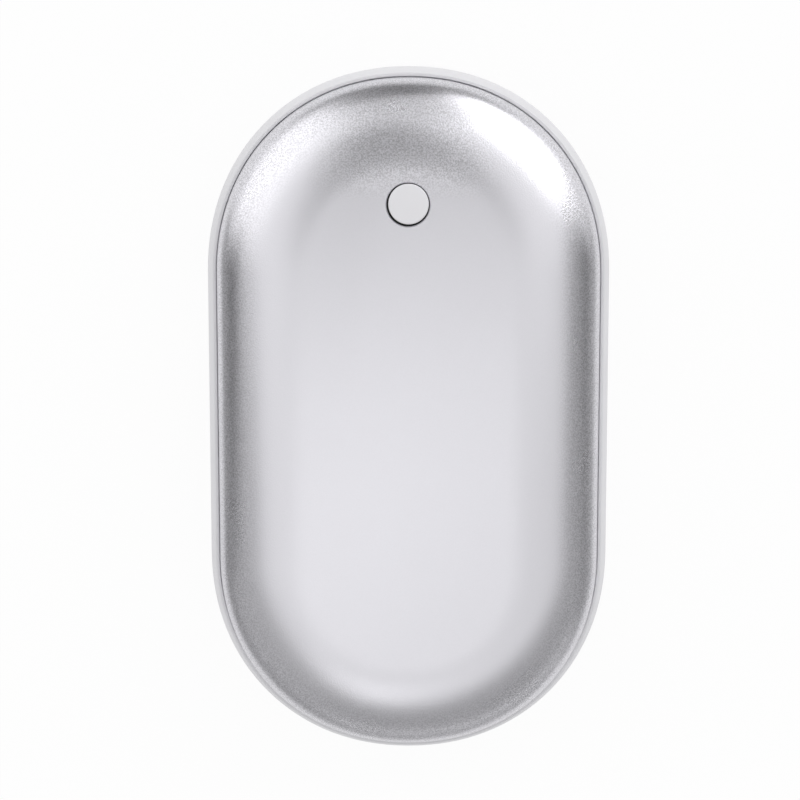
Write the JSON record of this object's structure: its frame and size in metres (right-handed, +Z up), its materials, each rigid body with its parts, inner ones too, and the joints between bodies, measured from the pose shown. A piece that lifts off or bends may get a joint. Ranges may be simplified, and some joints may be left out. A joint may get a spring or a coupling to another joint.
{
  "type": "rechargeable hand warmer",
  "caption": "Palm-sized pebble of two anodised aluminium shells on a pale plastic band, with a push button in its face and charging sockets in one end.",
  "frame": {"origin": "on the flat of the back shell, in the middle of the body's length and width", "axes": "+Z up out of the face with the button, +Y along the body towards the button's end, +X to the right seen from the front"},
  "size_m": [0.065, 0.1119, 0.0262],
  "materials": {
    "shell_aluminium": "bead-blasted and clear anodised",
    "band_plastic": "satin moulded plastic",
    "button_plastic": "satin moulded plastic",
    "liner_plastic": "moulded plastic",
    "tray_plastic": "moulded plastic",
    "switch_plastic": "moulded plastic",
    "socket_plastic": "moulded plastic",
    "socket_metal": "tinned sheet steel",
    "board": "glass-fibre board with green solder resist",
    "screw_steel": "zinc-plated steel",
    "clear_plastic": "clear moulded plastic",
    "led": "chip lamp",
    "ferrite": "pressed ferrite",
    "chip_epoxy": "moulded epoxy",
    "capacitor_can": "drawn can",
    "capacitor_ceramic": "fired ceramic",
    "cell": "steel can in a shrunk plastic sleeve",
    "contact_gold": "gold-plated spring strip",
    "nickel": "nickel strip",
    "heater_film": "etched foil in clear film",
    "foam": "silicone foam",
    "lead_white": "soft plastic insulation",
    "lead_red": "soft plastic insulation",
    "lead_black": "soft plastic insulation"
  },
  "bodies": {
    "housing": {"front_shell": "shell_aluminium", "back_shell": "shell_aluminium", "middle_frame": "band_plastic", "front_liner": "liner_plastic", "back_liner": "liner_plastic", "switch_body": "switch_plastic", "main_board": "board", "switch_board": "board", "main_board_screw_1": "screw_steel", "main_board_screw_2": "screw_steel", "switch_board_screw_1": "screw_steel", "switch_board_screw_2": "screw_steel", "tray_screw_1": "screw_steel", "tray_screw_2": "screw_steel", "tray_screw_3": "screw_steel", "tray_screw_4": "screw_steel", "usb_out_shell": "socket_metal", "usb_in_shell": "socket_metal", "usb_out_tongue": "socket_plastic", "usb_in_tongue": "switch_plastic", "usb_out_contact_1": "contact_gold", "usb_out_contact_2": "contact_gold", "usb_out_contact_3": "contact_gold", "usb_out_contact_4": "contact_gold", "light_pipe": "clear_plastic", "charge_led_1": "led", "charge_led_2": "led", "charge_led_3": "led", "charge_led_4": "led", "power_inductor": "ferrite", "boost_chip": "chip_epoxy", "controller_chip": "chip_epoxy", "charge_chip": "chip_epoxy", "capacitor_1": "capacitor_can", "capacitor_2": "capacitor_ceramic", "cell_tray": "tray_plastic", "cell_left": "cell", "cell_right": "cell", "plus_strip": "nickel", "minus_strip": "nickel", "front_heater": "heater_film", "back_heater": "heater_film", "front_pad": "foam", "back_pad": "foam", "thermistor": "capacitor_ceramic", "thermistor_lead": "lead_white", "front_heater_lead_1": "lead_white", "front_heater_lead_2": "lead_white", "back_heater_lead_1": "lead_white", "back_heater_lead_2": "lead_white", "battery_lead_red": "lead_red", "battery_lead_black": "lead_black", "switch_lead_1": "lead_black", "switch_lead_2": "lead_black"},
    "button": {"button_cap": "button_plastic", "switch_plunger": "socket_plastic"}
  },
  "joints": [
    {"name": "button_press", "type": "slide", "parent": "housing", "child": "button", "axis": [0, 0, -1], "range_m": [0, 0.0004], "stiffness_N_per_m": 4000}
  ]
}
